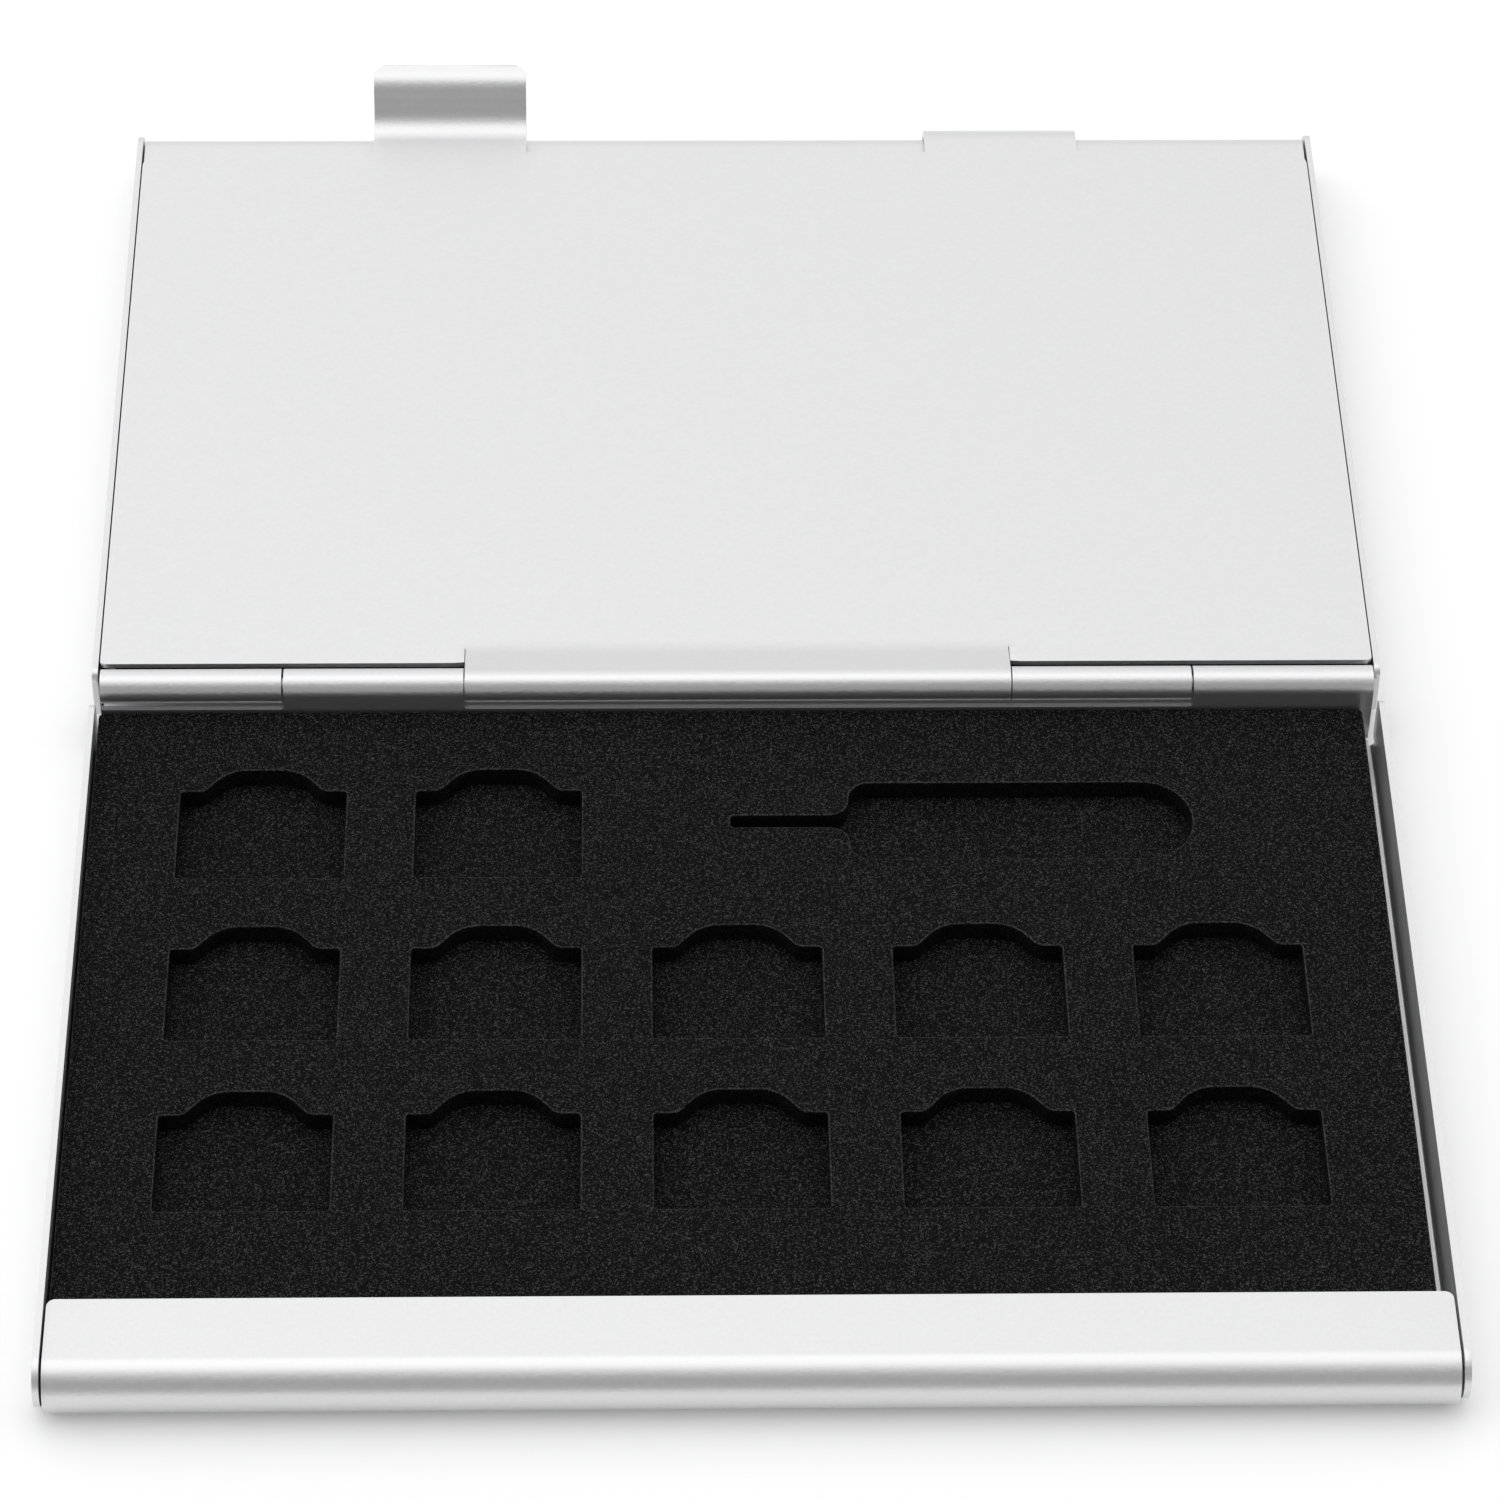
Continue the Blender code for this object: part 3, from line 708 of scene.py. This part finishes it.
def satinAluminium(name, grainLength):
    # Clear anodised aluminium sheet, brushed along its length and then etched to a soft satin: an
    # even silver with short faint lines, and a fine speckle that shows where the sheet is rolled
    finish, tree, shader = newMaterial(name)
    shader.inputs["Metallic"].default_value = aluminium["metallic"]
    coords = addNode(tree, "ShaderNodeTexCoord")
    grains = []
    # on the folded side walls the brushing stands upright, because it was done on the flat sheet
    for longAxis in (0, 2):
        scale = [1.0 / aluminium["grainWidth"] / mm] * 3
        scale[longAxis] = 1.0 / grainLength / mm
        stretch = addNode(
            tree,
            "ShaderNodeMapping",
            values={"Scale": scale},
            links={"Vector": coords.outputs["Object"]},
        )
        noise = addNode(
            tree,
            "ShaderNodeTexNoise",
            values={"Scale": 1.0, "Detail": 2.0},
            links={"Vector": stretch.outputs["Vector"]},
        )
        grains.append(noise.outputs["Fac"])
    facing = addNode(tree, "ShaderNodeSeparateXYZ", links={"Vector": coords.outputs["Normal"]})
    sideways = addNode(
        tree, "ShaderNodeMath", {"operation": "ABSOLUTE"}, links={0: facing.outputs["X"]}
    )
    onWall = addNode(
        tree,
        "ShaderNodeMapRange",
        values={"From Min": aluminium["wallFrom"], "From Max": aluminium["wallFull"]},
        links={"Value": sideways.outputs["Value"]},
    )
    grain = addNode(
        tree,
        "ShaderNodeMix",
        {"data_type": "FLOAT"},
        links={0: onWall.outputs["Result"], 2: grains[0], 3: grains[1]},
    )
    pits = addNode(
        tree,
        "ShaderNodeTexNoise",
        values={"Scale": 1.0 / aluminium["pitSize"] / mm, "Detail": 1.0},
        links={"Vector": coords.outputs["Object"]},
    )
    surface = addNode(
        tree,
        "ShaderNodeMix",
        {"data_type": "FLOAT"},
        values={0: aluminium["pitShare"]},
        links={2: grain.outputs[0], 3: pits.outputs["Fac"]},
    )
    tint = addNode(tree, "ShaderNodeValToRGB", links={"Fac": surface.outputs[0]})
    stops = tint.color_ramp.elements
    for stop, spot, shade in zip(stops, aluminium["spread"], aluminium["shades"]):
        stop.position = spot
        stop.color = linearFrom(shade)
    tree.links.new(tint.outputs["Color"], shader.inputs["Base Color"])
    low, high = aluminium["spread"]
    smooth, rough = aluminium["roughness"]
    gloss = addNode(
        tree,
        "ShaderNodeMapRange",
        values={"From Min": low, "From Max": high, "To Min": smooth, "To Max": rough},
        links={"Value": surface.outputs[0]},
    )
    tree.links.new(gloss.outputs["Result"], shader.inputs["Roughness"])

    # rolling opens the grain: the flats stay calm, and the noses and barrels are rougher to the touch
    upward = addNode(
        tree, "ShaderNodeMath", {"operation": "ABSOLUTE"}, links={0: facing.outputs["Z"]}
    )
    flatness = addNode(
        tree,
        "ShaderNodeMath",
        {"operation": "MAXIMUM"},
        links={0: upward.outputs["Value"], 1: sideways.outputs["Value"]},
    )
    rolled = addNode(
        tree,
        "ShaderNodeMapRange",
        values={
            "From Min": aluminium["flatFrom"],
            "From Max": aluminium["rolledFrom"],
            "To Min": aluminium["flatRelief"],
        },
        links={"Value": flatness.outputs["Value"]},
    )
    relief = addNode(
        tree,
        "ShaderNodeBump",
        values={"Distance": aluminium["reliefDepth"] * mm},
        links={"Height": surface.outputs[0], "Strength": rolled.outputs["Result"]},
    )
    tree.links.new(relief.outputs["Normal"], shader.inputs["Normal"])
    return finish


eva = {
    "cellSize": 0.08,
    "tuftSize": 0.2,
    "tuftShare": 0.45,
    # the pale last stop paints the glints of open cells as specks
    "shades": ((0.25, "#050505"), (0.62, "#0c0c0d"), (0.85, "#4e4e50")),  # the last are the specks
    "wall": "#050505",
    "wallFrom": 0.4,  # where the surface turns into a cut wall, by how far it faces up
    "wallFull": 0.1,
    "wallShare": 0.7,
    "rimFrayAndSheen": "#4c4c4d",
    # how much of the rim's pale colour shows, by how far the surface faces up: a painted highlight,
    # partly the fray of the cut
    "rimShares": ((0.3, "#000000"), (0.5, "#ffffff"), (0.9, "#ffffff"), (0.98, "#000000")),
    "reliefStrength": 0.6,
    "reliefDepth": 0.05,
}


def evaFoam(name):
    # Split black EVA foam: matt, with fine pale specks painted into its colour as the glints of open
    # cells
    finish, tree, shader = newMaterial(name)
    shader.inputs["Roughness"].default_value = 0.9
    shader.inputs["Specular IOR Level"].default_value = 0.1
    coords = addNode(tree, "ShaderNodeTexCoord")
    # each cell has its own tone, and the few pale ones are painted glints
    cells = addNode(
        tree,
        "ShaderNodeTexVoronoi",
        {"feature": "F1"},
        {"Scale": 1.0 / eva["cellSize"] / mm, "Randomness": 1.0},
        {"Vector": coords.outputs["Object"]},
    )
    cellTone = addNode(tree, "ShaderNodeSeparateColor", links={0: cells.outputs["Color"]})
    # the blade that split the sheet leaves soft ups and downs between them
    tufts = addNode(
        tree,
        "ShaderNodeTexNoise",
        values={"Scale": 1.0 / eva["tuftSize"] / mm, "Detail": 3.0, "Roughness": 0.7},
        links={"Vector": coords.outputs["Object"]},
    )
    mixed = addNode(
        tree,
        "ShaderNodeMix",
        {"data_type": "FLOAT"},
        values={0: eva["tuftShare"]},
        links={2: cellTone.outputs[0], 3: tufts.outputs["Fac"]},
    )
    tint = addNode(tree, "ShaderNodeValToRGB", links={"Fac": mixed.outputs[0]})
    stops = tint.color_ramp.elements
    stops.new(0.5)  # a third stop, which the loop puts in its place
    for stop, (spot, shade) in zip(stops, eva["shades"]):
        stop.position = spot
        stop.color = linearFrom(shade)

    # the cut walls are painted nearly black, partly their smoother cut and partly painted shade, and
    # the rims over them get a pale line, partly their fray and partly a painted highlight
    facing = addNode(tree, "ShaderNodeSeparateXYZ", links={"Vector": coords.outputs["Normal"]})
    upward = addNode(
        tree, "ShaderNodeMath", {"operation": "ABSOLUTE"}, links={0: facing.outputs["Z"]}
    )
    # painted shade: the less the surface faces up, the nearer it turns to black
    wall = addNode(
        tree,
        "ShaderNodeMapRange",
        values={
            "From Min": eva["wallFrom"],
            "From Max": eva["wallFull"],
            "To Max": eva["wallShare"],
        },
        links={"Value": upward.outputs["Value"]},
    )
    onWall = addNode(
        tree,
        "ShaderNodeMix",
        {"data_type": "RGBA"},
        {7: linearFrom(eva["wall"])},
        {0: wall.outputs["Result"], 6: tint.outputs["Color"]},
    )
    rimFrayAndSheen = addNode(tree, "ShaderNodeValToRGB", links={"Fac": upward.outputs["Value"]})
    stops = rimFrayAndSheen.color_ramp.elements
    stops.new(0.5)
    stops.new(0.9)
    for stop, (spot, shade) in zip(stops, eva["rimShares"]):
        stop.position = spot
        stop.color = linearFrom(shade)
    # painted highlight along the rims, broken up by the cells as the frayed edge would be
    frayedSheenShare = addNode(
        tree,
        "ShaderNodeMath",
        {"operation": "MULTIPLY"},
        links={0: rimFrayAndSheen.outputs["Color"], 1: cellTone.outputs[0]},
    )
    onRim = addNode(
        tree,
        "ShaderNodeMix",
        {"data_type": "RGBA"},
        {7: linearFrom(eva["rimFrayAndSheen"])},
        {0: frayedSheenShare.outputs["Value"], 6: onWall.outputs[2]},
    )
    tree.links.new(onRim.outputs[2], shader.inputs["Base Color"])
    relief = addNode(
        tree,
        "ShaderNodeBump",
        values={"Strength": eva["reliefStrength"], "Distance": eva["reliefDepth"] * mm},
        links={"Height": cells.outputs["Distance"]},
    )
    tree.links.new(relief.outputs["Normal"], shader.inputs["Normal"])
    return finish


wire = {
    "lineSize": 0.08,
    "shades": ("#9b9b9c", "#c4c4c5"),
    "roughness": (0.22, 0.34),
}


def drawnWire(name):
    # Drawn stainless wire: smooth and grey, a little mottled where the die has rubbed it
    finish, tree, shader = newMaterial(name)
    shader.inputs["Metallic"].default_value = 1.0
    coords = addNode(tree, "ShaderNodeTexCoord")
    lines = addNode(
        tree,
        "ShaderNodeTexNoise",
        values={"Scale": 1.0 / wire["lineSize"] / mm, "Detail": 2.0},
        links={"Vector": coords.outputs["Object"]},
    )
    tint = addNode(tree, "ShaderNodeValToRGB", links={"Fac": lines.outputs["Fac"]})
    for stop, shade in zip(tint.color_ramp.elements, wire["shades"]):
        stop.color = linearFrom(shade)
    tree.links.new(tint.outputs["Color"], shader.inputs["Base Color"])
    smooth, rough = wire["roughness"]
    gloss = addNode(
        tree,
        "ShaderNodeMapRange",
        values={"To Min": smooth, "To Max": rough},
        links={"Value": lines.outputs["Fac"]},
    )
    tree.links.new(gloss.outputs["Result"], shader.inputs["Roughness"])
    return finish


tissue = {
    "fibreSize": 0.6,
    "shades": ("#c9c5b8", "#e2dfd4"),
}


def adhesiveFilm(name):
    # Double-sided tape: milky tissue in clear glue
    finish, tree, shader = newMaterial(name)
    shader.inputs["Roughness"].default_value = 0.45
    shader.inputs["IOR"].default_value = 1.47
    coords = addNode(tree, "ShaderNodeTexCoord")
    fibres = addNode(
        tree,
        "ShaderNodeTexNoise",
        values={"Scale": 1.0 / tissue["fibreSize"] / mm, "Detail": 4.0},
        links={"Vector": coords.outputs["Object"]},
    )
    tint = addNode(tree, "ShaderNodeValToRGB", links={"Fac": fibres.outputs["Fac"]})
    for stop, shade in zip(tint.color_ramp.elements, tissue["shades"]):
        stop.color = linearFrom(shade)
    tree.links.new(tint.outputs["Color"], shader.inputs["Base Color"])
    return finish


def dress(piece, finish):
    piece.data.materials.clear()
    piece.data.materials.append(finish)


def carry(node, finish):
    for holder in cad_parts[node].material_slots:
        holder.material = finish


shellFinish = satinAluminium("satinAnodisedAluminium", grainLength=0.3)
leafFinish = satinAluminium("satinAluminiumLeaf", grainLength=0.4)
foamFinish = evaFoam("blackEvaFoam")
for piece in (baseShell, lidShell):
    dress(piece, shellFinish)
dress(dividerLeaf, leafFinish)
for piece in (basePocketFoam, baseBackingFoam, lidPocketFoam, lidBackingFoam):
    dress(piece, foamFinish)
carry("hinge_pin", drawnWire("drawnSteelWire"))
filmFinish = adhesiveFilm("adhesiveTissueFilm")
carry("base_adhesive_film", filmFinish)
carry("lid_adhesive_film", filmFinish)
print("finishes on")


# Floor, softbox and sky

studio = {
    "floorSize": 8.0,
    "floorDrop": 0.00001,  # keeps the floor from meeting the case's underside
    "floorGlow": 0.07,  # lifts the paper to white without more light on the case
    "boxSize": 0.72,
    "boxHeight": 1.0,
    "boxBehind": 0.07,
    "boxPower": 0.75,
    "behindUp": (0.0, 0.5, 0.866),  # where the brightest part of the room is
    # how nearly a direction points there, and how bright the room is in it
    "roomTones": ((0.0, 0.38), (0.3, 0.43), (0.588, 0.84), (0.7, 1.0), (0.95, 1.1), (1.0, 1.25)),
    "leftGain": 0.22,  # the room is brighter on the left by this share, and dimmer on the right
}
bpy.ops.mesh.primitive_plane_add(
    size=studio["floorSize"], location=(0.0, 0.0, -studio["floorDrop"])
)
floor = bpy.context.object
floor.name = "studioFloor"
floorFinish, tree, shader = newMaterial("whiteStudioPaper")
shader.inputs["Base Color"].default_value = linearFrom("#ffffff")
shader.inputs["Roughness"].default_value = 0.9
shader.inputs["Specular IOR Level"].default_value = 0.1
shader.inputs["Emission Color"].default_value = linearFrom("#ffffff")
ray = addNode(tree, "ShaderNodeLightPath")
direct = addNode(
    tree,
    "ShaderNodeMath",
    {"operation": "MAXIMUM"},
    links={0: ray.outputs["Is Camera Ray"], 1: ray.outputs["Is Glossy Ray"]},
)
seen = addNode(
    tree,
    "ShaderNodeMath",
    {"operation": "MAXIMUM"},
    links={0: direct.outputs["Value"], 1: ray.outputs["Is Transmission Ray"]},
)
glow = addNode(
    tree,
    "ShaderNodeMath",
    {"operation": "MULTIPLY"},
    {1: studio["floorGlow"]},
    {0: seen.outputs["Value"]},
)
tree.links.new(glow.outputs["Value"], shader.inputs["Emission Strength"])
dress(floor, floorFinish)

bpy.ops.object.light_add(type="AREA", location=(0.0, studio["boxBehind"], studio["boxHeight"]))
softbox = bpy.context.object
softbox.name = "softbox"
softbox.data.shape = "SQUARE"
softbox.data.size = studio["boxSize"]
softbox.data.energy = studio["boxPower"]

world = bpy.data.worlds.new("studioRoom")
bpy.context.scene.world = world
world.use_nodes = True
tree = world.node_tree
sky = tree.nodes["Background"]
coords = addNode(tree, "ShaderNodeTexCoord")
# a bright sweep behind and above the case, and a dimmer room on the photographer's side, the same
# all the way across because only the direction seen from the side counts
sideOn = addNode(
    tree,
    "ShaderNodeVectorMath",
    {"operation": "MULTIPLY"},
    {1: (0.0, 1.0, 1.0)},
    {0: coords.outputs["Generated"]},
)
sweep = addNode(
    tree, "ShaderNodeVectorMath", {"operation": "NORMALIZE"}, links={0: sideOn.outputs["Vector"]}
)
towards = addNode(
    tree,
    "ShaderNodeVectorMath",
    {"operation": "DOT_PRODUCT"},
    {1: studio["behindUp"]},
    {0: sweep.outputs["Vector"]},
)
tones = addNode(tree, "ShaderNodeFloatCurve", links={"Value": towards.outputs["Value"]})
curve = tones.mapping.curves[0]
roomTones = studio["roomTones"]
top = max(tone for spot, tone in roomTones)
for spot, tone in roomTones[1:-1]:
    curve.points.new(spot, tone / top)
curve.points[0].location = (0.0, roomTones[0][1] / top)
curve.points[-1].location = (1.0, roomTones[-1][1] / top)
tones.mapping.update()
direction = addNode(tree, "ShaderNodeSeparateXYZ", links={"Vector": coords.outputs["Generated"]})
leftTop = top * (1.0 + studio["leftGain"])
rightTop = top * (1.0 - studio["leftGain"])
sideGain = addNode(
    tree,
    "ShaderNodeMapRange",
    values={"From Min": -1.0, "To Min": leftTop, "To Max": rightTop},
    links={"Value": direction.outputs["X"]},
)
skyTone = addNode(
    tree,
    "ShaderNodeMath",
    {"operation": "MULTIPLY"},
    links={0: tones.outputs["Value"], 1: sideGain.outputs["Result"]},
)
tree.links.new(skyTone.outputs["Value"], sky.inputs["Color"])
bpy.context.scene.view_settings.view_transform = "Standard"
print("studio set")
